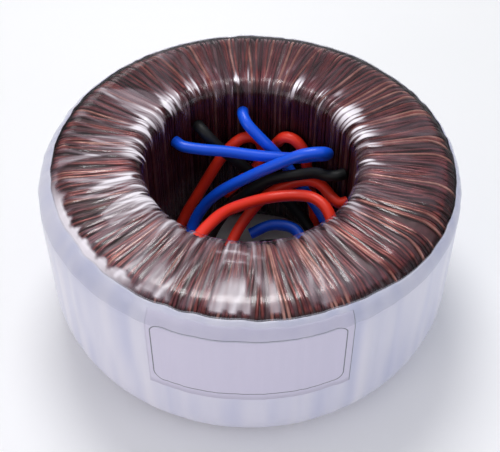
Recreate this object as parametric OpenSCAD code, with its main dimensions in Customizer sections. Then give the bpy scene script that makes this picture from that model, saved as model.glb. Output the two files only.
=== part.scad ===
// Toroidal mains transformer, wound on a strip core and wrapped in clear film,
// with its flying leads tucked into the centre hole.
// The ring stands on its flat underside; the origin is at the centre of that face.

/* [Overall] */
// Outside diameter over the side band
outer_d = 120; // [90:1:160]
// Height of the wrapped ring
height = 59; // [48:1:80]
// Diameter of the finished centre hole
hole_d = 59; // [45:1:70]
// Rounding where the top and bottom faces turn into the hole
lip_r = 5; // [3:0.5:8]
// Rounding of the top outside edge
top_edge_r = 9.6; // [7:0.2:14]
// Rounding of the bottom outside edge
bottom_edge_r = 19; // [10:0.5:20]

/* [Outer wrap] */
// Thickness of the clear film wrap, several lapped turns
film_t = 0.4; // [0.2:0.05:0.8]
// Thickness of the white side band
band_t = 0.35; // [0.2:0.05:0.6]
// Radius at which the side band ends on the top edge
band_top_r = 55.2; // [54:0.1:57]
// Radius at which the side band ends on the bottom edge
band_bottom_r = 50; // [46:0.5:54]
// Thickness of the narrow edge tape
tape_t = 0.15; // [0.1:0.05:0.3]
// Depth of the lower edge of the edge tape below the top face
tape_depth = 7; // [5:0.5:12]

/* [Rating label] */
// Thickness of the label
label_t = 0.1; // [0.05:0.01:0.15]
// Angle that the label spans round the side
label_span = 53; // [30:1:80]
// Height of the bottom edge of the label
label_low_z = 27; // [21:0.5:32]

/* [Windings] */
// Turns on each secondary; the two lie turn beside turn
turns = 60; // [30:1:66]
// Width and thickness of one secondary turn
wire_t = 1.2; // [0.8:0.1:1.3]
// Thickness of a primary layer in the hole, where the turns crowd
primary_in_t = 1.4; // [0.8:0.1:2]
// Thickness of a primary layer over the faces and the outside
primary_out_t = 0.8; // [0.6:0.1:1]
// Thickness of the insulation between primary and secondaries
barrier_t = 0.4; // [0.2:0.05:0.6]
// Thickness of the film between the two primary layers
layer_film_t = 0.2; // [0.1:0.05:0.3]

/* [Core] */
// Thickness of the tape wrapped round the capped core
core_wrap_t = 0.4; // [0.2:0.05:0.6]
// Wall of the moulded caps beside the core
cap_side_t = 2.2; // [1.5:0.1:3]
// Thickness of the moulded caps over the faces of the core
cap_face_t = 2.5; // [1.5:0.1:4]
// Height that each cap reaches down the side of the core
cap_skirt = 11; // [8:0.5:16]
// Chamfer on the outside edges of the core
core_chamfer = 5; // [4:0.5:6]
// Radial pitch of the strip laps that show on the core's faces
lap_pitch = 1.6; // [1:0.1:3]
// Depth of the seam between two laps
lap_depth = 0.25; // [0.1:0.05:0.5]

/* [Leads] */
// Outside diameter of the lead insulation
lead_d = 3.5; // [2:0.1:4]

/* [Hidden] */
$fn = 96;
eps = 0.05;     // gap between two wraps that lie on each other
big = outer_d;  // larger than any section

// Each skin of the ring is a rounded outline, pushed in from the hole, from the outside
// and from the two faces: [in from the hole, in from the outside, in from the faces].
skin_film = [0, band_t + tape_t, 0];
skin_film_in = skin_film + film_t * [1, 1, 1];
skin_band = [0, tape_t, -band_t];
skin_tape = [0, 0, -band_t - tape_t];
skin_label = skin_band - (eps + label_t) * [0, 1, 1];
skin_wire = skin_film_in + eps * [1, 1, 1];
skin_wire_in = skin_wire + wire_t * [1, 1, 1];
skin_barrier = skin_wire_in + eps * [1, 1, 1];
skin_barrier_in = skin_barrier + barrier_t * [1, 1, 1];
skin_outer = skin_barrier_in + eps * [1, 1, 1];
skin_outer_in = skin_outer + [primary_in_t, primary_out_t, primary_out_t];
skin_mid = skin_outer_in + eps * [1, 1, 1];
skin_mid_in = skin_mid + layer_film_t * [1, 1, 1];
skin_inner = skin_mid_in + eps * [1, 1, 1];
skin_inner_in = skin_inner + [primary_in_t, primary_out_t, primary_out_t];
skin_wrap = skin_inner_in + eps * [1, 1, 1];
skin_wrap_in = skin_wrap + core_wrap_t * [1, 1, 1];
skin_cap = skin_wrap_in + eps * [1, 1, 1];

// The core fills the caps.
core_r0 = hole_d / 2 + skin_cap[0] + cap_side_t;
core_r1 = outer_d / 2 - skin_cap[1] - cap_side_t;
core_z0 = skin_cap[2] + cap_face_t;
core_z1 = height - skin_cap[2] - cap_face_t;
mid_z = height / 2;

tape_low_z = height - tape_depth;
label_top_z = tape_low_z - eps;

// Routes of the lead centrelines. Each starts at the wall of the hole. They are laid out for
// a hole of route_hole_d and a ring of route_height, and stretch with both.
route_hole_d = 59;
route_height = 59;
route_blue_a = [
  [-2.2, 29.7, 49], [-2, 27.2, 49], [-0.5, 24.4, 47.8], [3, 22.4, 44.6], [7, 21, 40.5],
  [11.5, 20, 34.5], [16, 16.6, 29], [20.5, 12, 25.5], [24.5, 6, 21], [26.5, -2, 16], [25.5, -10, 10.5],
  [19.5, -18.5, 5.5], [10.5, -24.5, 3], [-1, -26.5, 2.2], [-13, -23, 2.2], [-22, -15, 2.2],
  [-26.5, -3, 2.2], [-25, 9, 2.2], [-18.5, 19, 2.2]
];
route_blue_b = [
  [-22.5, 19.4, 46], [-19.8, 17.1, 46], [-14.5, 16.6, 45.3], [-7, 16.8, 44.2], [1, 16.5, 43],
  [9, 16.5, 42], [15, 17.3, 41], [19.5, 17.8, 41.3], [22.3, 15.8, 43.5], [23, 13, 47],
  [20.5, 10.7, 49.6], [15, 10.3, 49], [8, 11, 44.5], [0, 11.5, 39], [-9, 11.5, 32.5],
  [-14.5, 11, 26], [-18, 8.5, 19.5], [-19.5, 2, 14], [-18, -7, 11], [-11, -15, 10.5],
  [0, -17.5, 12], [10, -12, 14], [16, -2, 17], [14.5, 7, 19.5], [7, 10, 19], [0, 8, 17]
];
route_red_a = [
  [-17.5, -24, 46], [-15.5, -21.2, 46], [-12, -13.2, 43.8], [-6.5, -3, 39.5], [4, 4.5, 36.5],
  [13, 5.5, 37], [19.5, 3, 38], [23.5, -2, 36], [25, -10, 29], [20, -18.5, 21], [10, -25, 14],
  [-2, -26.5, 8.5], [-14, -22.8, 6.2], [-22.5, -14, 6.2], [-26, -3, 8], [-24.5, 7, 12],
  [-21, 14.5, 17], [-15, 19.5, 26], [-9.5, 23, 34.5], [-5, 25.3, 39.3], [-1, 26.4, 41.2],
  [2.5, 26.8, 39.5], [4, 26.3, 34.5], [1.5, 24, 29.8], [-3, 20.3, 28.2], [-8, 15.5, 27.5]
];
route_red_b = [
  [29, 6.2, 33.5], [26.8, 5.7, 33.5], [24.6, 7.3, 34.2], [21.5, 11.5, 35.2], [17.5, 14.2, 34.5],
  [12, 15, 32], [5.5, 13.5, 29], [0.5, 11, 24.5], [-4.5, 5.5, 19.5], [-8.5, -3, 14],
  [-9, -11, 8.5], [-3, -17.5, 4.5], [8, -18.5, 3], [16.5, -12.5, 3], [20.5, -1, 3.5],
  [20.5, 11, 8], [20.5, 17, 16], [19, 19.8, 25], [17.7, 21, 33], [16.4, 22.3, 39],
  [13.8, 23.7, 42.3], [10.6, 25, 42.4], [8.2, 26, 39]
];
route_black_a = [
  [28, 10.1, 41.5], [25.5, 9.2, 41.5], [22.5, 10, 40.9], [19.5, 12.3, 39.6], [15, 13.8, 37.5], [7.5, 14.5, 35],
  [3.5, 14.2, 33], [-0.5, 13.4, 30], [-7, 12, 24], [-12.5, 7, 16.5], [-13.5, -1, 9], [-9, -8, 3.5],
  [0, -11, 2.2], [9, -7, 2.2], [13, 1, 2.2], [10.5, 9, 2.2], [3, 14, 2.2], [-6, 15.5, 2.2],
  [-14, 11.5, 2.2], [-18.5, 3, 2.2], [-18, -7, 2.2], [-12, -15.5, 2.2]
];
route_black_b = [
  [-15.9, 25.1, 47.5], [-14.6, 23, 47.5], [-12.7, 21.5, 46], [-9.5, 21, 42], [-4, 20.5, 36.5], [3, 19.5, 30],
  [10, 18, 24], [17, 13, 18], [21, 6, 14], [20.5, -3, 10.5], [14, -9, 8.5], [5, -8, 7.5],
  [-2, -1, 7.5], [-1, 7.5, 8], [6, 11, 8.6], [12.8, 8.5, 8.6], [15.3, 2, 7]
];

function fitted(route) = [
  for (p = route) [p[0] * hole_d / route_hole_d, p[1] * hole_d / route_hole_d, p[2] * height / route_height]
];
routes = [
  for (route = [route_blue_a, route_blue_b, route_red_a, route_red_b, route_black_a, route_black_b])
    fitted(route)
];

// A lead's centreline is a smooth curve through its route points.
lead_steps = 3;   // rings from one route point to the next
lead_sides = 8;
function point(route, i) =
  i < 0 ? 2 * route[0] - route[1] :
  i >= len(route) ? 2 * route[len(route) - 1] - route[len(route) - 2] : route[i];
function between(a, b, c, d, t) =
  (2 * b + (c - a) * t + (2 * a - 5 * b + 4 * c - d) * t * t + (3 * b - 3 * c + d - a) * t * t * t) / 2;
function centreline(route) = [
  for (i = [0 : len(route) - 2]) for (k = [0 : lead_steps - 1])
    between(point(route, i - 1), point(route, i), point(route, i + 1), point(route, i + 2), k / lead_steps),
  route[len(route) - 1]
];
function unit(v) = v / norm(v);
function heading(line, i) = unit(line[min(i + 1, len(line) - 1)] - line[max(i - 1, 0)]);
function square_to(v, h) = unit(v - (v * h) * h);
// A side direction at each ring, carried along the line without twist.
function sides(line) = [
  for (i = 0, v = square_to([0, 0, 1], heading(line, 0)); i < len(line);
       i = i + 1, v = square_to(v, heading(line, min(i, len(line) - 1)))) v
];

// A quarter of a disc.
module quarter(r) {
  intersection() {
    circle(r);
    square(r);
  }
}

// One rounded ring section, pushed in by a skin's three offsets.
module outline(skin) {
  x0 = hole_d / 2 + skin[0];
  x1 = outer_d / 2 - skin[1];
  z0 = skin[2];
  z1 = height - skin[2];
  base = band_t + tape_t;
  a = max(0.5, lip_r - skin[2]);
  t = max(0.5, top_edge_r - base - skin[2]);
  b = max(0.5, bottom_edge_r - base - skin[2]);
  union() {
    polygon([
      [x0, z0 + a], [x0 + a, z0], [x1 - b, z0], [x1, z0 + b],
      [x1, z1 - t], [x1 - t, z1], [x0 + a, z1], [x0, z1 - a]
    ]);
    translate([x0 + a, z0 + a]) rotate(180) quarter(a);
    translate([x0 + a, z1 - a]) rotate(90) quarter(a);
    translate([x1 - t, z1 - t]) quarter(t);
    translate([x1 - b, z0 + b]) rotate(-90) quarter(b);
  }
}

// The closed shell between two skins.
module shell(outer_skin, inner_skin) {
  rotate_extrude() difference() {
    outline(outer_skin);
    outline(inner_skin);
  }
}

module core() {
  color("#5b5d60") rotate_extrude() difference() {
    polygon([
      [core_r0, core_z0], [core_r1 - core_chamfer, core_z0], [core_r1, core_z0 + core_chamfer],
      [core_r1, core_z1 - core_chamfer], [core_r1 - core_chamfer, core_z1], [core_r0, core_z1]
    ]);
    for (x = [core_r0 + lap_pitch : lap_pitch : core_r1 - core_chamfer - lap_pitch / 2]) {
      translate([x, core_z0 - 1]) square([lap_depth, 1 + lap_depth]);
      translate([x, core_z1 - lap_depth]) square([lap_depth, 1 + lap_depth]);
    }
  }
}

// Half of the moulded case of the core: low and high are the heights it lies between.
module core_cap(low, high) {
  rotate_extrude() intersection() {
    translate([0, low]) square([big, high - low]);
    difference() {
      outline(skin_cap);
      polygon([
        [core_r0 - eps, core_z0 - eps],
        [core_r1 - core_chamfer + eps / 2, core_z0 - eps],
        [core_r1 + eps, core_z0 + core_chamfer - eps / 2],
        [core_r1 + eps, core_z1 - core_chamfer + eps / 2],
        [core_r1 - core_chamfer + eps / 2, core_z1 + eps],
        [core_r0 - eps, core_z1 + eps]
      ]);
    }
  }
}

module core_cap_top() color("#26282b") core_cap(core_z1 - cap_skirt, height);
module core_cap_bottom() color("#26282b") core_cap(0, core_z0 + cap_skirt);

module core_wrap() color("#d9c27a") shell(skin_wrap, skin_wrap_in);
module primary_layer_inner() color("#7a2f22") shell(skin_inner, skin_inner_in);
module primary_layer_film() color("#d8d4cc") shell(skin_mid, skin_mid_in);
module primary_layer_outer() color("#7a2f22") shell(skin_outer, skin_outer_in);
module barrier_wrap() color("#e6e2d6") shell(skin_barrier, skin_barrier_in);

// Every second turn of the secondaries, each a closed turn that stands in a radial plane.
module secondary(first) {
  for (i = [first : 2 : 2 * turns - 1])
    rotate([90, 0, i * 180 / turns]) linear_extrude(wire_t, center = true) difference() {
      outline(skin_wire);
      outline(skin_wire_in);
    }
}

module secondary_a() color("#8c3b2a") secondary(0);
module secondary_b() color("#6f2b22") secondary(1);

// The hole in the film where a lead comes through, square to the wall.
module lead_hole(route) {
  p = route[0];
  translate([0, 0, p[2]]) rotate([0, 90, atan2(p[1], p[0])])
    translate([0, 0, hole_d / 2 - film_t]) cylinder(d = lead_d + 2 * eps, h = 2 * film_t + eps / 2);
}

module film_wrap() {
  color("#b9a6a8") difference() {
    shell(skin_film, skin_film_in);
    for (route = routes) lead_hole(route);
  }
}

module side_band() {
  color("#dcdae6") rotate_extrude() intersection() {
    polygon([
      [band_top_r, mid_z], [band_top_r, big], [big, big], [big, -1],
      [band_bottom_r, -1], [band_bottom_r, mid_z]
    ]);
    difference() {
      outline(skin_band);
      outline(skin_film - eps * [0, 1, 1]);
    }
  }
}

module edge_tape() {
  color("#b6bccb") rotate_extrude() intersection() {
    translate([band_top_r, tape_low_z]) square(big);
    difference() {
      outline(skin_tape);
      outline(skin_band - eps * [0, 1, 1]);
    }
  }
}

module rating_label() {
  color("#d8cfd8") rotate_extrude(angle = label_span, start = -90 - label_span / 2) intersection() {
    translate([band_top_r, label_low_z]) square([big, label_top_z - label_low_z]);
    difference() {
      outline(skin_label);
      outline(skin_band - eps * [0, 1, 1]);
    }
  }
}

// A lead: a round tube swept along its route.
module lead(route) {
  line = centreline(route);
  side = sides(line);
  last = len(line) - 1;
  n = lead_sides;
  points = [
    for (i = [0 : last]) for (k = [0 : n - 1])
      let (up = cross(heading(line, i), side[i]), a = k * 360 / n)
        line[i] + lead_d / 2 * (cos(a) * side[i] + sin(a) * up)
  ];
  skin = [
    for (i = [0 : last - 1]) for (k = [0 : n - 1])
      let (a = i * n + k, b = i * n + (k + 1) % n)
        each [[a, b + n, b], [a, a + n, b + n]]
  ];
  polyhedron(points, concat(skin, [[for (k = [0 : n - 1]) k], [for (k = [n - 1 : -1 : 0]) last * n + k]]));
}

module lead_blue_a() color("#1450dc") lead(routes[0]);
module lead_blue_b() color("#1450dc") lead(routes[1]);
module lead_red_a() color("#e8351f") lead(routes[2]);
module lead_red_b() color("#e8351f") lead(routes[3]);
module lead_black_a() color("#1c1d20") lead(routes[4]);
module lead_black_b() color("#1c1d20") lead(routes[5]);

core();
core_cap_top();
core_cap_bottom();
core_wrap();
primary_layer_inner();
primary_layer_film();
primary_layer_outer();
barrier_wrap();
secondary_a();
secondary_b();
film_wrap();
side_band();
edge_tape();
rating_label();
lead_blue_a();
lead_blue_b();
lead_red_a();
lead_red_b();
lead_black_a();
lead_black_b();
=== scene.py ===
import math
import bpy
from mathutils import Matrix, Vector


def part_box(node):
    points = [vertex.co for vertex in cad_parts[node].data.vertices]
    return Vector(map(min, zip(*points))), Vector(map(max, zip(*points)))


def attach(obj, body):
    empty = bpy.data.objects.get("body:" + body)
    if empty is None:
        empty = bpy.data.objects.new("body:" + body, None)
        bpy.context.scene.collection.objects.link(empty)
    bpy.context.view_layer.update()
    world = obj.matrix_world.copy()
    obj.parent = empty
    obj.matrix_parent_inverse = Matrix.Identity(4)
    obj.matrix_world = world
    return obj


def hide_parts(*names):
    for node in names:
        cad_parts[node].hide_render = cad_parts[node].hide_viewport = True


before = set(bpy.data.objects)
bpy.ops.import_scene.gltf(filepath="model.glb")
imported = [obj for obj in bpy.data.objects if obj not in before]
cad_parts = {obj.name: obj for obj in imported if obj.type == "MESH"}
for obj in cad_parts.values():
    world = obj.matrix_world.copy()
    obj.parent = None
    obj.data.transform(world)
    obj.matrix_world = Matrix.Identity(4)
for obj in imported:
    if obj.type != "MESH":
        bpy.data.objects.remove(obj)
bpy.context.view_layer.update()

from types import SimpleNamespace

import bmesh
import bpy
import numpy as np
from bpy.props import FloatProperty, IntProperty, PointerProperty, StringProperty
from mathutils import Vector

bl_info = {
    "name": "Toroidal Transformer",
    "version": (1, 0, 0),
    "blender": (4, 5, 0),
    "location": "View3D > Sidebar > Toroid",
    "description": "Builds a film-wrapped toroidal transformer with its leads tucked into the hole",
    "category": "Add Mesh",
}

MM = 0.001

# ---------------------------------------------------------------- the ring's section
# The clear film's outer surface. The ring's radius and height are read from its node. The hole
# and the lip's rounding are the CAD model's, and the two outer roundings are 0.5 mm less, for the
# wraps over them.
FILM_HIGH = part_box("film_wrap")[1]
RING_R = FILM_HIGH.x
TOP_Z = FILM_HIGH.z
HOLE_R = 29.5 * MM
LIP_R = 5 * MM
TOP_EDGE_R = 9.1 * MM
BOTTOM_EDGE_R = 18.5 * MM

# Where the wraps round the side end: radii on top of the ring and under it, and heights.
BAND_TOP_R = 55.2 * MM
BAND_BOTTOM_R = 50 * MM
TAPE_TOP_R = BAND_TOP_R - 0.4 * MM
TAPE_LOW_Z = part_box("edge_tape")[0].z
LABEL_TOP_R = 56.5 * MM
LABEL_LOW_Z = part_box("rating_label")[0].z

# The label's left end and how far it reaches round the ring, and its printed border line in
# millimetres from its lower left corner: middle, half size, corner radius and half thickness.
LABEL_START = math.radians(-116.5)
LABEL_SPAN = math.radians(53)
BORDER_MIDDLE = (27.1, 14.1)
BORDER_HALF = (25.7, 11.6)
BORDER_CORNER = 3.0
BORDER_LINE = 0.16
# Width of the label's dark right edge in millimetres, and the faces along the label.
CUT_EDGE = 0.18
LABEL_STEPS = 110

# Gaps between the points on the nine parts of the section, in millimetres, for the wires and for
# the film, which needs them closest on the lip and over the top.
WIRE_GAPS = (6, 1.6, 3.2, 1.9, 9, 4.2, 4, 1.9, 9)
FILM_GAPS = (2.2, 0.5, 0.7, 0.9, 8, 8, 4, 1.6, 6)
# Share of the way along the section from which the film lies under the side band.
COVERED_FROM = 0.45

# Routes of the leads' centrelines in millimetres, from the wall of the hole to the cut end.
ROUTES = {
    "lead_blue_a": [
        (-2.2, 29.7, 49), (-2, 27.2, 49), (-0.5, 24.4, 47.8), (3, 22.4, 44.6), (7, 21, 40.5),
        (11.5, 20, 34.5), (16, 16.6, 29), (20.5, 12, 25.5), (24.5, 6, 21), (26.5, -2, 16),
        (25.5, -10, 10.5), (19.5, -18.5, 5.5), (10.5, -24.5, 3), (-1, -26.5, 2.2), (-13, -23, 2.2),
        (-22, -15, 2.2), (-26.5, -3, 2.2), (-25, 9, 2.2), (-18.5, 19, 2.2),
    ],
    "lead_blue_b": [
        (-22.5, 19.4, 46), (-19.8, 17.1, 46), (-14.5, 16.6, 45.3), (-7, 16.8, 44.2), (1, 16.5, 43),
        (9, 16.5, 42), (15, 17.3, 41), (19.5, 17.8, 41.3), (22.3, 15.8, 43.5), (23, 13, 47),
        (20.5, 10.7, 49.6), (15, 10.3, 49), (8, 11, 44.5), (0, 11.5, 39), (-9, 11.5, 32.5),
        (-14.5, 11, 26), (-18, 8.5, 19.5), (-19.5, 2, 14), (-18, -7, 11), (-11, -15, 10.5),
        (0, -17.5, 12), (10, -12, 14), (16, -2, 17), (14.5, 7, 19.5), (7, 10, 19), (0, 8, 17),
    ],
    "lead_red_a": [
        (-17.5, -24, 46), (-15.5, -21.2, 46), (-12, -13.2, 43.8), (-6.5, -3, 39.5), (4, 4.5, 36.5),
        (13, 5.5, 37), (19.5, 3, 38), (23.5, -2, 36), (25, -10, 29), (20, -18.5, 21), (10, -25, 14),
        (-2, -26.5, 8.5), (-14, -22.8, 6.2), (-22.5, -14, 6.2), (-26, -3, 8), (-24.5, 7, 12),
        (-21, 14.5, 17), (-15, 19.5, 26), (-9.5, 23, 34.5), (-5, 25.3, 39.3), (-1, 26.4, 41.2),
        (2.5, 26.8, 39.5), (4, 26.3, 34.5), (1.5, 24, 29.8), (-3, 20.3, 28.2), (-8, 15.5, 27.5),
    ],
    "lead_red_b": [
        (29, 6.2, 33.5), (26.8, 5.7, 33.5), (24.6, 7.3, 34.2), (21.5, 11.5, 35.2), (17.5, 14.2, 34.5),
        (12, 15, 32), (5.5, 13.5, 29), (0.5, 11, 24.5), (-4.5, 5.5, 19.5), (-8.5, -3, 14),
        (-9, -11, 8.5), (-3, -17.5, 4.5), (8, -18.5, 3), (16.5, -12.5, 3), (20.5, -1, 3.5),
        (20.5, 11, 8), (20.5, 17, 16), (19, 19.8, 25), (17.7, 21, 33), (16.4, 22.3, 39),
        (13.8, 23.7, 42.3), (10.6, 25, 42.4), (8.2, 26, 39),
    ],
    "lead_black_a": [
        (28, 10.1, 41.5), (25.5, 9.2, 41.5), (22.5, 10, 40.9), (19.5, 12.3, 39.6), (15, 13.8, 37.5),
        (7.5, 14.5, 35), (3.5, 14.2, 33), (-0.5, 13.4, 30), (-7, 12, 24), (-12.5, 7, 16.5),
        (-13.5, -1, 9), (-9, -8, 3.5), (0, -11, 2.2), (9, -7, 2.2), (13, 1, 2.2), (10.5, 9, 2.2),
        (3, 14, 2.2), (-6, 15.5, 2.2), (-14, 11.5, 2.2), (-18.5, 3, 2.2), (-18, -7, 2.2),
        (-12, -15.5, 2.2),
    ],
    "lead_black_b": [
        (-15.9, 25.1, 47.5), (-14.6, 23, 47.5), (-12.7, 21.5, 46), (-9.5, 21, 42), (-4, 20.5, 36.5),
        (3, 19.5, 30), (10, 18, 24), (17, 13, 18), (21, 6, 14), (20.5, -3, 10.5), (14, -9, 8.5),
        (5, -8, 7.5), (-2, -1, 7.5), (-1, 7.5, 8), (6, 11, 8.6), (12.8, 8.5, 8.6),
        (15.3, 2, 7),
    ],
}
# Straight steps along a lead from one point of its route to the next.
ROUTE_STEPS = 8


# ---------------------------------------------------------------- small helpers
def linear(hex_colour):
    """An sRGB hex colour as the linear RGBA that a shader takes."""
    out = []
    for i in (1, 3, 5):
        c = int(hex_colour[i:i + 2], 16) / 255
        out.append(c / 12.92 if c <= 0.04045 else ((c + 0.055) / 1.055) ** 2.4)
    return (*out, 1.0)


def add_node(tree, kind, values=None, links=None, **settings):
    """Adds one shader node, with its settings, the values of its sockets and what feeds them."""
    node = tree.nodes.new("ShaderNode" + kind)
    for name, value in settings.items():
        setattr(node, name, value)
    for name, value in (values or {}).items():
        node.inputs[name].default_value = value
    for name, source in (links or {}).items():
        tree.links.new(source, node.inputs[name])
    return node


def calculate(tree, operation, *terms):
    """The result of one Math node; each term is a number or what another node gives."""
    node = add_node(tree, "Math", operation=operation)
    for socket, term in zip(node.inputs, terms):
        if isinstance(term, (int, float)):
            socket.default_value = term
        else:
            tree.links.new(term, socket)
    return node.outputs[0]


def noise(tree, grain_mm, detail, stretch=(1, 1, 1), **values):
    """A wandering value with grains of the given width in millimetres."""
    place_on = add_node(tree, "TexCoord")
    turned = add_node(tree, "Mapping", {"Scale": stretch}, {"Vector": place_on.outputs["Object"]})
    return add_node(
        tree, "TexNoise", {"Scale": 1 / (grain_mm * MM), "Detail": detail, **values},
        {"Vector": turned.outputs["Vector"]},
    ).outputs["Fac"]


def ramp(tree, source, *stops):
    """The colour at each value of the source, from stops of a position and a linear colour."""
    node = add_node(tree, "ValToRGB", links={"Fac": source})
    elements = node.color_ramp.elements
    while len(elements) < len(stops):
        elements.new(0.5)
    for element, (position, colour) in zip(elements, stops):
        element.position = position
        element.color = colour
    return node.outputs["Color"]


def add_bump(tree, shader, height, strength, depth_mm):
    """Lets a value raise and lower a surface."""
    bump = add_node(
        tree, "Bump", {"Strength": strength, "Distance": depth_mm * MM}, {"Height": height})
    tree.links.new(bump.outputs["Normal"], shader.inputs["Normal"])


def new_material(name, **values):
    """A material with one Principled shader; the values are its sockets', spaces as underscores."""
    material = bpy.data.materials.new(name)
    material.use_nodes = True
    shader = material.node_tree.nodes["Principled BSDF"]
    for key, value in values.items():
        shader.inputs[key.replace("_", " ")].default_value = value
    return material, material.node_tree, shader


def add_object(name, data):
    """Puts a new object into the scene."""
    obj = bpy.data.objects.new(name, data)
    bpy.context.scene.collection.objects.link(obj)
    return obj


def new_curve(name, width, resolution):
    """A curve whose lines are round, of the given width."""
    data = bpy.data.curves.new(name, "CURVE")
    data.dimensions = "3D"
    data.bevel_depth = width / 2
    data.bevel_resolution = resolution
    return data


def add_line(data, points):
    """Adds a line through the points to a curve."""
    line = data.splines.new("POLY")
    line.points.add(len(points) - 1)
    line.points.foreach_set("co", np.c_[points, np.ones(len(points))].reshape(-1))
    line.use_smooth = True
    return line


def place(obj, material, slot, *replaced):
    """Gives a finished piece its material, hides the nodes that it stands for and puts it on its
    body. The slot is not used.
    """
    if material is not None:
        obj.data.materials.append(material)
    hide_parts(*replaced)
    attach(obj, "root")


def smooth_step(x):
    """0 below 0, 1 above 1, and a soft curve between."""
    x = np.clip(x, 0, 1)
    return x * x * (3 - 2 * x)


def rise(x, start, length):
    """0 up to start, 1 from start + length on, and a soft curve between."""
    return smooth_step((x - start) / length)


def bell(off, width, power=2):
    """1 where off is 0, about a third at one width from it, and 0 far away."""
    return np.exp(-((off / width) ** power))


def turn_from(angle, centre):
    """How far each angle lies round from the centre, within half a turn each way."""
    return (angle - centre + math.pi) % (2 * math.pi) - math.pi


def round_ring(angle, table):
    """A value at each angle from a table of azimuths in degrees and the values there."""
    return np.interp(np.degrees(angle) % 360, *table)


def curve_through(points, steps):
    """Points on the smooth curve through the given ones in millimetres, in metres."""
    p = [np.array(q, float) * MM for q in points]
    p = [2 * p[0] - p[1]] + p + [2 * p[-1] - p[-2]]
    out = []
    for a, b, c, d in zip(p, p[1:], p[2:], p[3:]):
        for k in range(steps):
            t = k / steps
            out.append((2 * b + (c - a) * t + (2 * a - 5 * b + 4 * c - d) * t * t
                        + (3 * b - 3 * c + d - a) * t ** 3) / 2)
    return out + [p[-2]]


class Section:
    """The closed outline of the ring's section, with its outward normals.

    It runs from the middle of the hole's wall up over the lip, across the top, down the
    side, under the ring and back. s is the length along it, in metres."""

    def __init__(self, gaps):
        half = TOP_Z / 2
        flat_top = RING_R - TOP_EDGE_R
        flat_low = RING_R - BOTTOM_EDGE_R
        lip = HOLE_R + LIP_R
        # A line has its ends and the way it faces in degrees; an arc has its centre, its
        # radius and the ways it faces at its ends.
        parts = [
            ("line", (HOLE_R, half), (HOLE_R, TOP_Z - LIP_R), 180),
            ("arc", (lip, TOP_Z - LIP_R), LIP_R, 180, 90),
            ("line", (lip, TOP_Z), (flat_top, TOP_Z), 90),
            ("arc", (flat_top, TOP_Z - TOP_EDGE_R), TOP_EDGE_R, 90, 0),
            ("line", (RING_R, TOP_Z - TOP_EDGE_R), (RING_R, BOTTOM_EDGE_R), 0),
            ("arc", (flat_low, BOTTOM_EDGE_R), BOTTOM_EDGE_R, 0, -90),
            ("line", (flat_low, 0), (lip, 0), -90),
            ("arc", (lip, LIP_R), LIP_R, -90, -180),
            ("line", (HOLE_R, LIP_R), (HOLE_R, half), -180),
        ]
        points, normals, lengths, total = [], [], [], 0
        for part, gap in zip(parts, gaps):
            if part[0] == "line":
                a, b = np.array(part[1]), np.array(part[2])
                run = np.linalg.norm(b - a)
            else:
                run = part[2] * math.radians(abs(part[4] - part[3]))
            count = max(1, round(run / (gap * MM)))
            for k in range(count):
                t = k / count
                if part[0] == "line":
                    way = math.radians(part[3])
                    point = a + (b - a) * t
                else:
                    way = math.radians(part[3] + (part[4] - part[3]) * t)
                    point = np.array(part[1]) + part[2] * np.array([math.cos(way), math.sin(way)])
                points.append(point)
                normals.append((math.cos(way), math.sin(way)))
                lengths.append(total + run * t)
            total += run
        self.points = np.array(points)
        self.normals = np.array(normals)
        self.s = np.array(lengths)
        self.total = total


# Lengths along the section at which the lip starts and ends, the flat top ends, the rounding
# over the side ends and the side ends.
LIP_S0 = TOP_Z / 2 - LIP_R
LIP_S1 = LIP_S0 + LIP_R * math.pi / 2
TOP_S1 = LIP_S1 + RING_R - TOP_EDGE_R - HOLE_R - LIP_R
EDGE_S1 = TOP_S1 + TOP_EDGE_R * math.pi / 2
SIDE_S1 = EDGE_S1 + TOP_Z - TOP_EDGE_R - BOTTOM_EDGE_R
# The white spikes, partly painted highlight, and the highlights gather along this line round the lip.
LIP_PEAK = LIP_S1 - 1.2 * MM


def streaks(angle, part, round_cells, along_cells, seed):
    """Smooth random streaks in 0..1 that run along the section and close round the ring. part
    is the share of the way along it, and the cells are how many streaks fit each way."""
    table = np.random.default_rng(seed).random((along_cells + 2, round_cells))
    u = (angle / (2 * math.pi)) % 1 * round_cells
    # The end of the section stays in the last cell.
    v = np.clip(part, 0, 0.9999) * along_cells
    i, j = u.astype(int), v.astype(int)
    fu, fv = smooth_step(u - i), smooth_step(v - j)
    i, i1 = i % round_cells, (i + 1) % round_cells
    low = table[j, i] * (1 - fu) + table[j, i1] * fu
    high = table[j + 1, i] * (1 - fu) + table[j + 1, i1] * fu
    return low * (1 - fv) + high * fv


# Only every fourth ring of a shell is spun, and three are cut in between.
RING_CUTS = 3


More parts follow.
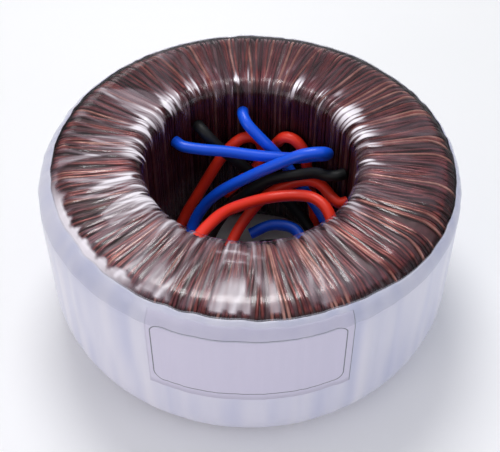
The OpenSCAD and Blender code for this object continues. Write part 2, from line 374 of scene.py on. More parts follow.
def spun_shell(name, points, normals, steps, span=2 * math.pi, start=0.0):
    """Spins a closed outline of (r, z) points into a piece. Returns it with each vertex's place,
    its angle, its index on the outline and its outward direction."""
    mesh = bmesh.new()
    row = mesh.verts.layers.int.new("row")
    verts = [mesh.verts.new((r * math.cos(start), r * math.sin(start), z)) for r, z in points]
    for k, vert in enumerate(verts):
        vert[row] = k
    edges = [mesh.edges.new((a, b)) for a, b in zip(verts, verts[1:] + verts[:1])]
    full = span == 2 * math.pi
    bmesh.ops.spin(
        mesh, geom=verts + edges, cent=(0, 0, 0), axis=(0, 0, 1), angle=span,
        steps=steps // (RING_CUTS + 1), use_merge=full, use_normal_flip=False, use_duplicate=False,
    )
    round_edges = [e for e in mesh.edges if e.verts[0][row] == e.verts[1][row]]
    bmesh.ops.subdivide_edges(mesh, edges=round_edges, cuts=RING_CUTS, use_grid_fill=True)
    if not full:
        bmesh.ops.holes_fill(mesh, edges=[e for e in mesh.edges if e.is_boundary], sides=0)
    bmesh.ops.recalc_face_normals(mesh, faces=mesh.faces)
    data = bpy.data.meshes.new(name)
    mesh.to_mesh(data)
    mesh.free()
    data.shade_smooth()
    obj = add_object(name, data)
    co = np.zeros(len(data.vertices) * 3)
    data.vertices.foreach_get("co", co)
    co = co.reshape(-1, 3)
    angle = np.arctan2(co[:, 1], co[:, 0])
    index = np.zeros(len(co), np.int32)
    data.attributes["row"].data.foreach_get("value", index)
    # The cuts lie on flats between the spun rings, so each point goes out to its circle.
    radius = np.array(points)[index, 0]
    co[:, 0], co[:, 1] = radius * np.cos(angle), radius * np.sin(angle)
    n = np.array(normals)[index]
    way = np.stack([n[:, 0] * np.cos(angle), n[:, 0] * np.sin(angle), n[:, 1]], 1)
    return obj, co, angle, index, way


def set_points(obj, co):
    """Moves a piece's vertices to the given places."""
    obj.data.vertices.foreach_set("co", np.ascontiguousarray(co).reshape(-1))
    obj.data.update()


def set_attribute(obj, name, values):
    """Gives each vertex of a piece a number that its material reads."""
    layer = obj.data.attributes.new(name, "FLOAT", "POINT")
    layer.data.foreach_set("value", np.ascontiguousarray(values, dtype=np.float32))


# How the winding's bundles push up through the wraps: the azimuth, width and height of each
# ridge. The same ridges show in the film, the side band, the tape and the label.
RIDGE_COUNT = 150
RIDGE_RNG = np.random.default_rng(11)
RIDGES = [
    (RIDGE_RNG.uniform(0, 2 * math.pi), RIDGE_RNG.uniform(0.9, 3.2) * MM, RIDGE_RNG.uniform(-1, 1))
    for _ in range(RIDGE_COUNT)
]


def ridge_height(angle):
    """Soft upright ridges round the side, about -1..1."""
    total = np.zeros_like(angle)
    for centre, width, height in RIDGES:
        total += height * bell(turn_from(angle, centre) * RING_R, width)
    return np.clip(total, -1.3, 1.3)


# ---------------------------------------------------------------- materials
def finish(name, dark, light, grain_mm, depth_mm, stretch=(1, 1, 1), **values):
    """A material whose colour wanders between two and whose surface has a grain, of the given
    width and height in millimetres."""
    material, tree, shader = new_material(name, **values)
    grain = noise(tree, grain_mm, 4, stretch)
    tint = ramp(tree, grain, (0.35, linear(dark)), (0.65, linear(light)))
    tree.links.new(tint, shader.inputs["Base Color"])
    add_bump(tree, shader, grain, 0.5, depth_mm)
    return material


def insulation(name, colour, roughness, coat):
    """Silicone lead insulation, extruded: an even colour with a soft sheen and faint scuffs. The
    scuffs are 1.1 mm wide, coarser than real ones, so that they show at all."""
    material, tree, shader = new_material(
        name, Base_Color=linear(colour), Roughness=roughness, IOR=1.41, Coat_Weight=coat,
        Coat_Roughness=0.3,
    )
    add_bump(tree, shader, noise(tree, 1.11, 4), 0.12, 0.1)
    return material


def enamelled_copper(name, dark, light, painted_edge_shade=0.22):
    """Copper wire in polyurethane enamel, drawn: red-brown and glossy, with darker and lighter
    runs a few millimetres long, and painted shade in the hole and by the side band. The last
    argument is how much of its colour that painted shade by the side band leaves."""
    material, tree, shader = new_material(
        name, Roughness=0.3, Specular_IOR_Level=0.2, Coat_Roughness=0.15,
    )
    patches = noise(tree, 6.25, 3, Roughness=0.6)
    runs = ramp(tree, patches, (0.35, linear(dark)), (0.7, linear(light)))
    # Painted shade: they are painted darker in the hole and where they turn down under the side
    # band. The stops run from a radius of 30 mm to one of 60 mm.
    place_on = add_node(tree, "TexCoord")
    flat = add_node(
        tree, "VectorMath", {1: (1, 1, 0)}, {0: place_on.outputs["Object"]}, operation="MULTIPLY")
    radius = add_node(tree, "VectorMath", links={0: flat.outputs[0]}, operation="LENGTH")
    along = add_node(
        tree, "MapRange", {"From Min": 30 * MM, "From Max": 60 * MM},
        {"Value": radius.outputs["Value"]},
    )
    stops = ((0.05, 0.18), (0.2, 1.0), (0.822, 1.0), (0.848, painted_edge_shade), (1.0, painted_edge_shade))
    greys = [(position, (share, share, share, 1)) for position, share in stops]
    painted_shade = ramp(tree, along.outputs["Result"], *greys)
    # The painted shade mixes the colour towards a near-black maroon.
    painted_shade_colour = add_node(
        tree, "Mix", {6: linear("#180a12")}, {0: painted_shade, 7: runs}, data_type="RGBA")
    tree.links.new(painted_shade_colour.outputs[2], shader.inputs["Base Color"])
    # Where the shade is painted the enamel also shines less, and less of the metal shows through it.
    coat = add_node(
        tree, "MapRange", {"From Min": 0.35, "To Min": 0.02, "To Max": 0.35},
        {"Value": painted_shade},
    )
    tree.links.new(coat.outputs["Result"], shader.inputs["Coat Weight"])
    tree.links.new(coat.outputs["Result"], shader.inputs["Metallic"])
    return material


def clear_film():
    """Clear polyester film, cast and wound on tight: see-through and glossy, and milky where it
    is creased or lies in several layers, with highlights painted in white on the lip and in
    broad streaks."""
    material, tree, milky = new_material("clear_polyester_film", Roughness=0.3, IOR=1.6)
    milk_and_highlight = add_node(tree, "Attribute", attribute_name="milk_and_highlight").outputs["Fac"]
    # The milky colour runs to near white where the highlights are painted.
    tint = ramp(tree, milk_and_highlight, (0.15, linear("#a98b98")), (0.8, linear("#f6eff6")))
    tree.links.new(tint, milky.inputs["Base Color"])
    # Where it clings to the varnish it hardly shines, as down the hole.
    loose = add_node(tree, "Attribute", attribute_name="loose").outputs["Fac"]
    fresnel = add_node(tree, "Fresnel", {"IOR": 1.5}).outputs["Fac"]
    shine = calculate(tree, "MULTIPLY", fresnel, loose)
    through = add_node(tree, "BsdfTransparent").outputs[0]
    gloss = add_node(tree, "BsdfGlossy", {"Roughness": 0.17}).outputs[0]
    sheen = add_node(tree, "MixShader", links={"Fac": shine, 1: through, 2: gloss}).outputs[0]
    film = add_node(tree, "MixShader", links={"Fac": milk_and_highlight, 1: sheen, 2: milky.outputs[0]})
    tree.links.new(film.outputs[0], tree.nodes["Material Output"].inputs["Surface"])
    return material


def white_film(colour, painted_shade):
    """White polyester film, pigmented, wrapped round the side: satin, with painted shade that makes
    it a little bluer in its soft folds, and a faint upright grain 4 mm wide."""
    material, tree, shader = new_material(
        "white_polyester_film", Roughness=0.36, IOR=1.5, Coat_Weight=0.3, Coat_Roughness=0.15,
    )
    tone_and_fold_shade = add_node(tree, "Attribute", attribute_name="tone_and_fold_shade").outputs["Fac"]
    # The shade colour is painted shade in the folds.
    tint = ramp(tree, tone_and_fold_shade, (0, linear(painted_shade)), (1, linear(colour)))
    tree.links.new(tint, shader.inputs["Base Color"])
    add_bump(tree, shader, noise(tree, 3.846, 3, (1, 1, 0.25)), 0.25, 0.3)
    return material


# ---------------------------------------------------------------- properties
LENGTH = {"subtype": "DISTANCE", "unit": "LENGTH"}


class StageSettings(bpy.types.PropertyGroup):
    lens: FloatProperty(
        name="Lens", description="Focal length of the camera, in mm", default=77.5, min=20)
    elevation: FloatProperty(
        name="Elevation", description="Angle of the camera above the horizon",
        default=math.radians(47.7), subtype="ANGLE",
    )
    distance: FloatProperty(
        name="Distance", description="From the camera to the middle of the ring", default=0.322,
        **LENGTH,
    )
    floor: StringProperty(
        name="Floor", description="Colour of the floor, as sRGB hex", default="#fdfdfd")
    surround: StringProperty(
        name="Surround", description="Colour of the light from all round", default="#f4f6fb")
    brightness: FloatProperty(
        name="Brightness", description="Strength of the light from all round", default=0.54, min=0)


class LeadSettings(bpy.types.PropertyGroup):
    diameter: FloatProperty(
        name="Diameter", description="Over the insulation of a lead", default=3.5 * MM, **LENGTH)
    blue: StringProperty(name="Blue", description="Colour of the blue leads", default="#0f5cf2")
    red: StringProperty(name="Red", description="Colour of the red leads", default="#ff3922")
    black: StringProperty(name="Black", description="Colour of the black leads", default="#0d0f11")


class WindingSettings(bpy.types.PropertyGroup):
    bundles: IntProperty(
        name="Bundles", description="Bundles of wire round the ring", default=30, min=8)
    strands: IntProperty(name="Strands", description="Wires in a bundle", default=12, min=2)
    wire: FloatProperty(
        name="Wire", description="Diameter of one enamelled wire", default=0.95 * MM, **LENGTH)


class FilmSettings(bpy.types.PropertyGroup):
    steps: IntProperty(name="Steps", description="Faces round the ring", default=1000, min=90)
    creases: IntProperty(
        name="Creases", description="Creases in the clear film", default=420, min=0)


class BandSettings(bpy.types.PropertyGroup):
    steps: IntProperty(name="Steps", description="Faces round the ring", default=900, min=90)
    ridge: FloatProperty(
        name="Ridge", description="Height of the soft upright ridges in the band",
        default=0.26 * MM, **LENGTH,
    )
    colour: StringProperty(
        name="Colour", description="Colour of the white film", default="#dcdae6")
    # The colour of the painted shade in the folds of the white film.
    painted_shade: StringProperty(
        name="Shade", description="Colour in the folds of the white film", default="#b9bcd8")


SETTINGS = {
    "toroid_stage": StageSettings, "toroid_leads": LeadSettings, "toroid_winding": WindingSettings,
    "toroid_film": FilmSettings, "toroid_band": BandSettings,
}


# ---------------------------------------------------------------- operators
# Soft round studio lights: name, place, width, power in watts and colour. They all face a
# point about half way up the ring.
LIGHTS = (
    ("overhead", (-0.03, 0.15, 0.48), 0.20, 1.05, "#ffffff"),
    ("back", (-0.20, 0.50, 0.30), 0.20, 0.12, "#ffffff"),
    ("right", (0.50, -0.30, 0.30), 0.30, 0.38, "#e6ecff"),
    ("front", (-0.50, -0.58, 0.30), 0.50, 1.35, "#fff6f8"),
)
LIT_POINT = Vector((0, 0, 0.03))
# How far the floor reaches each way, in metres.
FLOOR_REACH = 3


class TOROID_OT_stage(bpy.types.Operator):
    """Camera, floor and soft studio lights"""
    bl_idname = "toroid.stage"
    bl_label = "Stage"

    def execute(self, context):
        scene, settings = context.scene, context.scene.toroid_stage
        centre = Vector((0, 0, TOP_Z / 2))
        camera = add_object("camera", bpy.data.cameras.new("camera"))
        camera.data.lens = settings.lens
        camera.data.clip_start = 0.01
        away = Vector((0, -math.cos(settings.elevation), math.sin(settings.elevation)))
        camera.location = centre + away * settings.distance
        camera.rotation_euler = (-away).to_track_quat("-Z", "Y").to_euler()
        scene.camera = camera

        mesh = bmesh.new()
        bmesh.ops.create_grid(mesh, x_segments=1, y_segments=1, size=FLOOR_REACH)
        data = bpy.data.meshes.new("floor")
        mesh.to_mesh(data)
        mesh.free()
        floor = add_object("floor", data)
        # Background paper, uncoated: pale and matt, so it takes soft shadows and no highlights.
        paper, _, _ = new_material(
            "white_paper_floor", Base_Color=linear(settings.floor), Roughness=0.8)
        data.materials.append(paper)

        for light in LIGHTS:
            self.light(*light)
        scene.view_settings.view_transform = "Standard"
        world = bpy.data.worlds.new("studio")
        scene.world = world
        world.use_nodes = True
        background = world.node_tree.nodes["Background"]
        background.inputs["Color"].default_value = linear(settings.surround)
        background.inputs["Strength"].default_value = settings.brightness
        return {"FINISHED"}

    def light(self, name, at, size, power, colour):
        """Adds one disc light that faces the ring."""
        data = bpy.data.lights.new(name, "AREA")
        data.shape, data.size, data.energy = "DISK", size, power
        data.color = linear(colour)[:3]
        lamp = add_object(name, data)
        lamp.location = at
        lamp.rotation_euler = (LIT_POINT - Vector(at)).to_track_quat("-Z", "Y").to_euler()


class TOROID_OT_leads(bpy.types.Operator):
    """The six insulated leads, tucked into the hole"""
    bl_idname = "toroid.leads"
    bl_label = "Leads"

    def execute(self, context):
        settings = context.scene.toroid_leads
        looks = {
            "blue": insulation("blue_silicone_insulation", settings.blue, 0.38, coat=0.25),
            "red": insulation("red_silicone_insulation", settings.red, 0.42, coat=0.2),
            "black": insulation("black_silicone_insulation", settings.black, 0.6, coat=0.05),
        }
        for node, route in ROUTES.items():
            colour = node.split("_")[1]
            line = curve_through(route, ROUTE_STEPS)
            data = new_curve(node + "_insulation", settings.diameter, 4)
            data.use_fill_caps = True
            add_line(data, np.array(line))
            obj = add_object(node + "_insulation", data)
            place(obj, looks[colour], colour + "_insulation", node)
        return {"FINISHED"}


# The wires' finishes: name, dark and light colour, how much of its colour the painted shade by
# the side band leaves, and the share of the wires. Most are maroon or red, some are nearly black
# with varnish, and a few bare-looking ones are painted light as bright copper lines, a painted
# highlight where they catch the light, which the painted shade hardly darkens.
WIRES = (
    ("enamelled_copper_maroon", "#5c222b", "#8f454b", 0.22, 0.36),
    ("enamelled_copper_red", "#702a2c", "#ac5850", 0.22, 0.3),
    ("enamelled_copper_bright", "#a0564a", "#d9a294", 0.9, 0.14),
    ("enamelled_copper_dark", "#37131a", "#672a33", 0.22, 0.2),
)
# How deep a wire's centreline lies under the film's surface, in millimetres, and how much deeper
# every other one lies in the hole, where the turns crowd.
WIRE_DEPTH = 1.05
CROWDED_DEPTH = 0.3


class TOROID_OT_winding(bpy.types.Operator):
    """The outer turns: bundles of enamelled wire that fan out from the hole"""
    bl_idname = "toroid.winding"
    bl_label = "Winding"

    def execute(self, context):
        settings = context.scene.toroid_winding
        rng = np.random.default_rng(5)
        section = Section(WIRE_GAPS)
        data = new_curve("secondary_wires", settings.wire, 1)
        for name, dark, light, painted_edge_shade, _ in WIRES:
            data.materials.append(enamelled_copper(name, dark, light, painted_edge_shade))
        shares = [wire[-1] for wire in WIRES]
        sector = 2 * math.pi / settings.bundles
        # Share of the way from the hole to the outside at each point of the section: out over
        # the top, and back again under the ring.
        s = section.s
        back = rise(s, SIDE_S1, section.total - TOP_Z / 2 - SIDE_S1)
        out = np.where(s > SIDE_S1, 1 - back, rise(s, LIP_S0, EDGE_S1 - LIP_S0))
        for b in range(settings.bundles):
            # A bundle leans a little, is narrower in the hole than outside, and some lie deeper.
            middle = b * sector
            lean = rng.normal(0, 0.15) * sector
            wide = sector * rng.uniform(1.0, 1.3)
            tight = sector * rng.uniform(0.7, 0.95)
            sink = rng.uniform(0, 0.3) * MM
            for k in range(settings.strands):
                across = (k + 0.5) / settings.strands - 0.5
                start = middle + across * tight + rng.normal(0, 0.02) * sector
                end = middle + lean + across * wide + rng.normal(0, 0.03) * sector
                bow = rng.normal(0, 0.05) * sector
                angle = start + (end - start) * out + bow * np.sin(math.pi * out)
                depth = (WIRE_DEPTH + CROWDED_DEPTH * (k % 2) * (1 - out)) * MM + sink
                radius, height = (section.points - section.normals * depth[:, None]).T
                turn = add_line(data, np.c_[radius * np.cos(angle), radius * np.sin(angle), height])
                turn.use_cyclic_u = True
                turn.material_index = int(rng.choice(len(WIRES), p=shares))
        obj = add_object("secondary_wires", data)
        place(obj, None, "enamelled_copper", "secondary_a", "secondary_b")
        return {"FINISHED"}


# How much of the film is milky or painted with highlights round the ring: azimuths in degrees,
# and shares.
MILK_AND_HIGHLIGHT_SHARES = (
    (0, 30, 60, 90, 120, 150, 180, 210, 240, 265, 290, 310, 335, 360),
    (0.34, 0.16, 0.08, 0.14, 0.38, 0.74, 0.96, 1.05, 0.80, 0.46, 0.10, 0.08, 0.22, 0.34),
)
# How strongly the film is gathered into white spikes at the lip of the hole, partly painted
# highlights, likewise.
LIP_GATHERS_AND_HIGHLIGHTS = (
    (0, 30, 60, 90, 120, 150, 180, 210, 240, 270, 300, 330, 360),
    (1.00, 1.15, 1.10, 0.95, 0.90, 0.75, 0.50, 0.25, 0.20, 0.20, 0.30, 0.70, 1.00),
)
# Short creases across the film: azimuth and half span in degrees, millimetres out from the lip,
# and how white.
ARCS = ((-97, 7, 1.5, 0.35), (-95, 5, 4.6, 0.3), (-88, 4, 3.0, 0.2))
# Azimuths at which the film is gathered white at the front, runs clear furthest from the band,
# and ends in a ragged loose edge.
FRONT_GATHER = math.radians(-94)
FRONT_CLEAR = math.radians(-88)
LOOSE_END = math.radians(-147)
# How deep the film may dip under its outer surface, in millimetres.
FILM_DEPTHS = (0.02, 0.42)


def film_streaks(angle, part):
    """The random streaks that the film's looks are mixed from, from many narrow ones to a few
    broad ones. Some run askew over the ring, and the spikes are the same all the way along."""
    level = np.zeros_like(part)
    return SimpleNamespace(
        fine=streaks(angle, part, 420, 12, 3),
        mid=streaks(angle + 0.9 * part, part, 190, 11, 4),
        broad=streaks(angle - 0.6 * part, part, 84, 9, 6),
        chunk=streaks(angle + 1.5 * part, part, 58, 16, 14),
        patch=streaks(angle, part, 30, 8, 7),
        spikes=0.5 * streaks(angle, level, 240, 1, 12) + 0.5 * streaks(angle, level, 110, 1, 13),
        scraps=0.6 * streaks(angle, part, 150, 30, 15) + 0.4 * streaks(angle, part, 40, 6, 16),
    )


def film_creases(count, co, angle, s):
    """Narrow creases that start at the lip of the hole: how far each lifts the film, in metres,
    and how white it is."""
    rng = np.random.default_rng(23)
    radius = np.hypot(co[:, 0], co[:, 1])
    lifted, white = np.zeros(len(co)), np.zeros(len(co))
    for _ in range(count):
        centre = rng.uniform(0, 2 * math.pi)
        lean = rng.normal(0, 1.8)
        width = rng.uniform(0.2, 0.8) * MM
        height = rng.uniform(0.05, 0.24) * MM
        first = LIP_S0 + rng.normal(0, 2.5) * MM
        last = first + rng.uniform(6, 26) * MM
        off = turn_from(angle, centre + lean * (s - LIP_S1))
        across = bell(off * radius, width)
        along = rise(s, first, 3 * MM) * (1 - rise(s, last - 8 * MM, 8 * MM))
        lifted += height * across * along
        white += rng.uniform(0.1, 1.2) * across ** 2 * along
    return lifted, white


def film_milk_and_highlight(angle, s, streak, white):
    """How milky the film is above the side band, with painted highlights added, from 0 to 1,
    where white is what its creases give."""
    # Milky streaks of several widths, partly painted highlights, more of them where the film is
    # loose.
    share = round_ring(angle, MILK_AND_HIGHLIGHT_SHARES)
    strips = 0.6 * rise(streak.mid, 0.58, 0.16) + 0.85 * rise(streak.broad, 0.58, 0.14)
    strips *= (0.5 + 0.5 * streak.fine) * (0.25 + 1.15 * streak.patch)
    milk_and_highlight = 0.2 * white * (0.12 + 1.25 * share) + 0.55 * share * strips + 0.01 + 0.03 * streak.mid

    # Painted highlights on the lip: white clumps of spikes where the film gathers, with fine dark
    # creases through them.
    lip = bell(s - LIP_PEAK, (1.6 + 4.0 * streak.spikes) * MM) * round_ring(angle, LIP_GATHERS_AND_HIGHLIGHTS)
    clumps = rise(0.3 * streak.fine + 0.24 * streak.mid + 0.46 * streak.chunk, 0.5, 0.13)
    milk_and_highlight += lip * (0.04 + 0.85 * (0.4 + 0.6 * rise(streak.fine, 0.38, 0.2)) * clumps)

    # At the front it is gathered into broad white streaks outside the lip, partly painted
    # highlight, and short creases cross it.
    front = bell(turn_from(angle, FRONT_GATHER), 0.5) * rise(s, LIP_S1 + 7 * MM, 6 * MM)
    grain = 0.3 + 0.75 * streak.mid + 0.25 * streak.fine
    milk_and_highlight += 0.62 * front * rise(streak.broad, 0.26, 0.35) * grain
    for centre, half, at, strength in ARCS:
        off = turn_from(angle, math.radians(centre))
        bend = (at + 0.8 * (off / math.radians(half)) ** 2) * MM
        milk_and_highlight += strength * bell(s - LIP_S1 - bend, 0.45 * MM) * (abs(off) < math.radians(half))

    # It lies tight and clear by the band, but its loose end shows white there.
    ahead = bell(turn_from(angle, FRONT_CLEAR), 0.95, 4)
    clear = (2.4 + ahead * (2.0 + 1.6 * (streak.mid - 0.5))) * MM
    milk_and_highlight *= 1 - 0.94 * rise(s, TOP_S1 + clear, (2.2 - 1.5 * ahead) * MM)
    loose_end = bell(turn_from(angle, LOOSE_END), 0.42, 4) * (s < EDGE_S1)
    milk_and_highlight += 0.85 * loose_end * rise(s, TOP_S1 + (5.4 - 6.5 * streak.scraps) * MM, 1.4 * MM)

    # Down the hole it is clear again, from a ragged line on the lip.
    ragged = LIP_S0 + (6.0 - 8.5 * rise(1.4 * streak.spikes, 0.2, 1)) * MM
    return milk_and_highlight * (0.05 + 0.95 * rise(s, ragged, 1.6 * MM))


def film_looseness(s, streak):
    """How far the film stands off the varnish and shines above the side band, from 0 to 1."""
    loose = 0.04 + 0.96 * rise(s, LIP_S0 + 0.5 * MM, 3.5 * MM)
    # Broad and fine streaks break up the shine on the lip.
    near_lip = bell(s - LIP_PEAK, 3.5 * MM)
    loose *= 1 - 0.85 * near_lip * (1 - rise(0.5 * streak.chunk + 0.5 * streak.broad, 0.42, 0.14))
    loose *= 1 - 0.85 * near_lip * (1 - rise(0.65 * streak.fine + 0.35 * streak.mid, 0.45, 0.14))
    return loose * (1 - 0.6 * rise(s, TOP_S1 + 1.5 * MM, 3 * MM))


class TOROID_OT_film(bpy.types.Operator):
    """The clear film wrap, wrinkled over the winding and gathered at the hole"""
    bl_idname = "toroid.film"
    bl_label = "Clear film"

    def execute(self, context):
        settings = context.scene.toroid_film
        section = Section(FILM_GAPS)
        obj, co, angle, index, way = spun_shell(
            "clear_film_wrap", section.points, section.normals, settings.steps)
        s = section.s[index]
        streak = film_streaks(angle, s / section.total)
        lifted, white = film_creases(settings.creases, co, angle, s)
        # Soft ridges over the bundles and small wrinkles lie between the creases.
        wrinkles = 0.16 * (0.5 - streak.fine) + 0.14 * (0.5 - streak.mid)
        depth = (0.14 - 0.07 * ridge_height(angle) + wrinkles) * MM - lifted
        depth = np.clip(depth, FILM_DEPTHS[0] * MM, FILM_DEPTHS[1] * MM)
        set_points(obj, co - way * depth[:, None])
        # Under the side band and the ring it is evenly milky and shines as loose film does, and
        # up the wall of the hole it clings again.
        covered = s > section.total * COVERED_FROM
        faint = 0.1 + 0.25 * round_ring(angle, MILK_AND_HIGHLIGHT_SHARES) * streak.fine
        milk_and_highlight = np.where(covered, faint, film_milk_and_highlight(angle, s, streak, white))
        set_attribute(obj, "milk_and_highlight", np.clip(milk_and_highlight, 0, 1))
        on_wall = s > section.total - TOP_Z / 2 + LIP_R
        loose = np.where(covered & ~on_wall, 1, film_looseness(s, streak))
        set_attribute(obj, "loose", loose)
        place(obj, clear_film(), "clear_film", "film_wrap")
        return {"FINISHED"}


# ---------------------------------------------------------------- wraps round the side
# How much lower than usual the wraps' top edge lies: azimuths in degrees, and millimetres.
EDGE_DROP = (
    (0, 30, 60, 90, 120, 150, 175, 215, 240, 275, 300, 318, 340, 360),
    (3.4, 3.2, 2.6, 2.4, 2.2, 1.2, 0.3, 0.3, 1.0, 1.5, 2.0, 3.2, 3.6, 3.4),
)


def band_profile(low_z, high_r, offset, thick, gap, low_r=None):
    """Outline of a thin wrap on the outside of the ring, from its top edge at radius high_r down
    to low_z, or to the radius low_r underneath. offset is how far its outer face lies from the
    film, and gap is the distance between points over the top edge."""
    points, normals = [], []
    top_centre = (RING_R - TOP_EDGE_R, TOP_Z - TOP_EDGE_R)
    low_centre = (RING_R - BOTTOM_EDGE_R, BOTTOM_EDGE_R)
    top = math.acos((high_r - top_centre[0]) / TOP_EDGE_R)
    if low_r is None:
        low = -math.asin(max(0, low_centre[1] - low_z) / BOTTOM_EDGE_R)
        stop = -math.asin(min(0, top_centre[1] - low_z) / TOP_EDGE_R)
    else:
        low = -math.acos((low_r - low_centre[0]) / BOTTOM_EDGE_R)
        stop = 0
    # Over the top edge.
    count = max(2, round((top - stop) * TOP_EDGE_R / gap))
    for k in range(count + 1):
        way = top + (stop - top) * k / count
        points.append((top_centre[0] + TOP_EDGE_R * math.cos(way),
                       top_centre[1] + TOP_EDGE_R * math.sin(way)))
        normals.append((math.cos(way), math.sin(way)))
    # Down the side, if it goes that far.
    if stop == 0:
        end = low_centre[1] if low < 0 else low_z
        count = max(2, round((top_centre[1] - end) / (3 * gap)))
        for k in range(1, count + 1):
            points.append((RING_R, top_centre[1] + (end - top_centre[1]) * k / count))
            normals.append((1, 0))
    # Round the bottom edge, if it goes that far.
    if low < 0:
        count = max(2, round(-low * BOTTOM_EDGE_R / (2 * gap)))
        for k in range(1, count + 1):
            way = low * k / count
            points.append((low_centre[0] + BOTTOM_EDGE_R * math.cos(way),
                           low_centre[1] + BOTTOM_EDGE_R * math.sin(way)))
            normals.append((math.cos(way), math.sin(way)))
    p, n = np.array(points), np.array(normals)
    outer, inner = p + n * offset, p + n * (offset - thick)
    return np.r_[outer, inner[::-1]], np.r_[n, n[::-1]]


def edge_drop(angle):
    """How far the wraps' top edge lies down the rounding, in metres: it wanders, and on one
    side it was trimmed lower."""
    return round_ring(angle, EDGE_DROP) * MM + 0.5 * MM * (streaks(angle, angle * 0, 90, 1, 41) - 0.5)


def on_band(co, angle, index, points, way, ridge):
    """Lowers a wrap's top edge, and moves its points in and out with the ridges that show
    through it. ridge is their height."""
    centre = np.array((RING_R - TOP_EDGE_R, TOP_Z - TOP_EDGE_R))
    arm = np.array(points)[index] - centre
    turn = np.arctan2(arm[:, 1], arm[:, 0])
    reach = np.hypot(arm[:, 0], arm[:, 1])
    # The points over the top edge move down round it, the top edge most.
    drop = edge_drop(angle) / (turn.max() * TOP_EDGE_R)
    lower = np.where(turn > 0, turn * (1 - drop), turn)
    on_arc = (turn > 0) & (arm[:, 0] > 0)
    radius = np.where(on_arc, centre[0] + reach * np.cos(lower), centre[0] + arm[:, 0])
    z = np.where(on_arc, centre[1] + reach * np.sin(lower), co[:, 2])
    co = np.stack([radius * np.cos(angle), radius * np.sin(angle), z], 1)
    way = np.where(on_arc[:, None], np.stack(
        [np.cos(lower) * np.cos(angle), np.cos(lower) * np.sin(angle), np.sin(lower)], 1), way)
    # The wrap is set in by one ridge's height, and the ridges push it back out, less so towards
    # the bottom.
    height = ridge_height(angle) * (0.35 + 0.65 * rise(co[:, 2], 4 * MM, 25 * MM))
    fine = streaks(angle, co[:, 2] / TOP_Z, 300, 4, 31) - 0.5
    return co + way * (ridge * (0.62 * height - 1.0 + 0.35 * fine))[:, None]


# Azimuth at which the band lies in most layers.
MOST_LAYERS = math.radians(215)


class TOROID_OT_band(bpy.types.Operator):
    """The white film round the side"""
    bl_idname = "toroid.band"
    bl_label = "Side band"

    def execute(self, context):
        settings = context.scene.toroid_band
        points, normals = band_profile(
            0, BAND_TOP_R, offset=0.35 * MM, thick=0.2 * MM, gap=0.9 * MM, low_r=BAND_BOTTOM_R)
        obj, co, angle, index, way = spun_shell("white_side_band", points, normals, settings.steps)
        set_points(obj, on_band(co, angle, index, points, way, settings.ridge))
        # The film is painted whiter where it stretches over a ridge and bluer in painted shade
        # between the ridges, varies in streaks of two widths, and is whiter where it lies in most
        # layers, at one side.
        up = co[:, 2] / TOP_Z
        tone_and_fold_shade = 0.6 + 0.22 * ridge_height(angle) + 0.12 * np.cos(angle - MOST_LAYERS)
        tone_and_fold_shade += 0.5 * (streaks(angle, up, 120, 3, 51) - 0.5)
        tone_and_fold_shade += 0.25 * (streaks(angle, up, 26, 2, 52) - 0.5)
        set_attribute(obj, "tone_and_fold_shade", np.clip(tone_and_fold_shade, 0, 1))
        place(obj, white_film(settings.colour, settings.painted_shade), "white_film", "side_band")
        return {"FINISHED"}


class TOROID_OT_edge_tape(bpy.types.Operator):
    """The narrow translucent tape over the top edge of the band"""
    bl_idname = "toroid.edge_tape"
    bl_label = "Edge tape"

    def execute(self, context):
        settings = context.scene.toroid_band
        points, normals = band_profile(
            TAPE_LOW_Z, TAPE_TOP_R, offset=0.48 * MM, thick=0.06 * MM, gap=0.8 * MM)
        obj, co, angle, index, way = spun_shell(
            "translucent_edge_tape", points, normals, settings.steps)
        set_points(obj, on_band(co, angle, index, points, way, settings.ridge))
        # Clear polyester tape, slit and wound on with a matt glue: a thin blue-grey veil with a
        # gloss on top.
        material = finish(
            "translucent_polyester_tape", "#ccd0e2", "#e4e6f0", 3.333, 0.04, (1, 1, 0.3),
            Roughness=0.25, IOR=1.5, Alpha=0.13, Coat_Weight=0.3, Coat_Roughness=0.1,
        )
        place(obj, material, "edge_tape", "edge_tape")
        return {"FINISHED"}


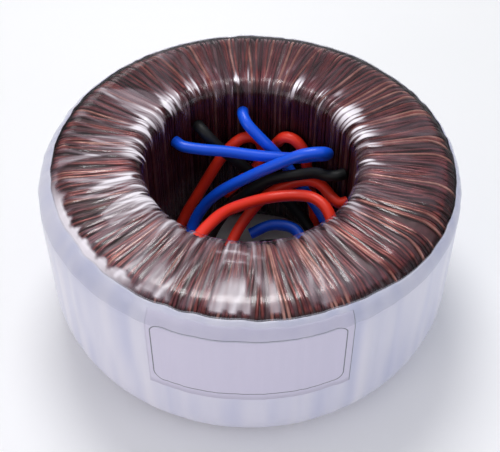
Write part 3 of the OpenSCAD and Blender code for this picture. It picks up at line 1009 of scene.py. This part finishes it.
class TOROID_OT_label(bpy.types.Operator):
    """The bare rating label with its thin printed border"""
    bl_idname = "toroid.label"
    bl_label = "Label"

    def execute(self, context):
        settings = context.scene.toroid_band
        points, normals = band_profile(
            LABEL_LOW_Z, LABEL_TOP_R, offset=0.39 * MM, thick=0.03 * MM, gap=0.8 * MM)
        obj, co, angle, index, way = spun_shell(
            "rating_label_film", points, normals, LABEL_STEPS, LABEL_SPAN, LABEL_START)
        # The label's own map: millimetres from its left edge and up from its bottom edge.
        set_attribute(obj, "across_mm", (angle - LABEL_START) * RING_R / MM)
        set_attribute(obj, "up_mm", (co[:, 2] - LABEL_LOW_Z) / MM)
        set_points(obj, on_band(co, angle, index, points, way, settings.ridge))
        place(obj, self.printed_label(), "label_film", "rating_label")
        return {"FINISHED"}

    def printed_label(self):
        """White coated paper label, printed with one thin grey line with round corners: smooth
        and slightly glossy, with the winding faintly showing through it."""
        material, tree, shader = new_material(
            "coated_paper_label", Roughness=0.45, IOR=1.5, Coat_Weight=0.2, Coat_Roughness=0.3,
        )
        # How far a point lies outside a box that is smaller than the border by its corners.
        across = add_node(tree, "Attribute", attribute_name="across_mm").outputs["Fac"]
        up = add_node(tree, "Attribute", attribute_name="up_mm").outputs["Fac"]
        past = []
        for way, middle, half in zip((across, up), BORDER_MIDDLE, BORDER_HALF):
            off = calculate(tree, "ABSOLUTE", calculate(tree, "SUBTRACT", way, middle))
            beyond = calculate(tree, "SUBTRACT", off, half - BORDER_CORNER)
            past.append(calculate(tree, "MAXIMUM", beyond, 0.0))
        corner = add_node(tree, "CombineXYZ", links=dict(enumerate(past)))
        far = add_node(tree, "VectorMath", links={0: corner.outputs[0]}, operation="LENGTH")
        # The line lies where that is the corner's radius, and the label's right edge is as dark.
        off = calculate(tree, "SUBTRACT", far.outputs["Value"], BORDER_CORNER)
        border = calculate(tree, "LESS_THAN", calculate(tree, "ABSOLUTE", off), BORDER_LINE)
        cut_edge = calculate(tree, "GREATER_THAN", across, LABEL_SPAN * RING_R / MM - CUT_EDGE)
        line = calculate(tree, "MAXIMUM", border, cut_edge)
        printed = add_node(
            tree, "Mix", {6: linear("#cfcade"), 7: linear("#6c6f78")}, {0: line}, data_type="RGBA")
        tree.links.new(printed.outputs[2], shader.inputs["Base Color"])
        # Soft upright creases 4 mm wide.
        add_bump(tree, shader, noise(tree, 4.167, 3, (1, 1, 0.2)), 0.3, 0.3)
        return material


class TOROID_OT_inside(bpy.types.Operator):
    """Finishes of the pieces under the outer turns"""
    bl_idname = "toroid.inside"
    bl_label = "Inside pieces"

    def execute(self, context):
        # Cold-rolled silicon steel strip, wound: a grey sheen that runs with the edges of the
        # strip, which is 0.3 mm thick.
        steel = finish(
            "silicon_steel_strip", "#6d7075", "#8d9095", 0.303, 0.05, (0.05, 0.05, 1),
            Metallic=0.9, Roughness=0.35,
        )
        # Black nylon, moulded with a fine spark texture.
        nylon = finish("moulded_nylon", "#222427", "#2c2e31", 0.4, 0.03, Roughness=0.55, IOR=1.53)
        # Creped paper tape, wound on: dull tan, with small wrinkles across it.
        crepe = finish(
            "crepe_paper_tape", "#b89d58", "#d3bb78", 1.11, 0.1, (0.4, 0.4, 1), Roughness=0.8)
        # Polyester layer film, wound over varnished wire, which shows through it maroon.
        film = finish(
            "polyester_layer_film", "#451d22", "#63333a", 2.381, 0.05, Roughness=0.35, IOR=1.6)
        # The primary's enamelled copper lies deeper and reads darker than the outer turns.
        wires = enamelled_copper("enamelled_copper_primary", "#2a0f11", "#6a2a22")
        finishes = {
            "core": steel, "core_cap_top": nylon, "core_cap_bottom": nylon, "core_wrap": crepe,
            "primary_layer_inner": wires, "primary_layer_outer": wires, "primary_layer_film": film,
            "barrier_wrap": film,
        }
        for node, material in finishes.items():
            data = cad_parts[node].data
            data.materials.clear()
            data.materials.append(material)
        return {"FINISHED"}


class TOROID_PT_panel(bpy.types.Panel):
    """Lists the pieces and their settings"""
    bl_label = "Toroidal Transformer"
    bl_space_type = "VIEW_3D"
    bl_region_type = "UI"
    bl_category = "Toroid"

    def draw(self, context):
        for operator in OPERATORS:
            self.layout.operator(operator.bl_idname)
        for name, group in SETTINGS.items():
            box = self.layout.box()
            for prop in group.__annotations__:
                box.prop(getattr(context.scene, name), prop)


OPERATORS = (
    TOROID_OT_stage, TOROID_OT_leads, TOROID_OT_winding, TOROID_OT_film, TOROID_OT_band,
    TOROID_OT_edge_tape, TOROID_OT_label, TOROID_OT_inside,
)
CLASSES = (*SETTINGS.values(), *OPERATORS, TOROID_PT_panel)


def register():
    for item in CLASSES:
        bpy.utils.register_class(item)
    for name, group in SETTINGS.items():
        setattr(bpy.types.Scene, name, PointerProperty(type=group))


def unregister():
    for name in SETTINGS:
        delattr(bpy.types.Scene, name)
    for item in reversed(CLASSES):
        bpy.utils.unregister_class(item)


def main():
    register()
    for step in ("stage", "leads", "winding", "film", "band", "edge_tape", "label", "inside"):
        getattr(bpy.ops.toroid, step)()


if __name__ == "__main__":
    main()
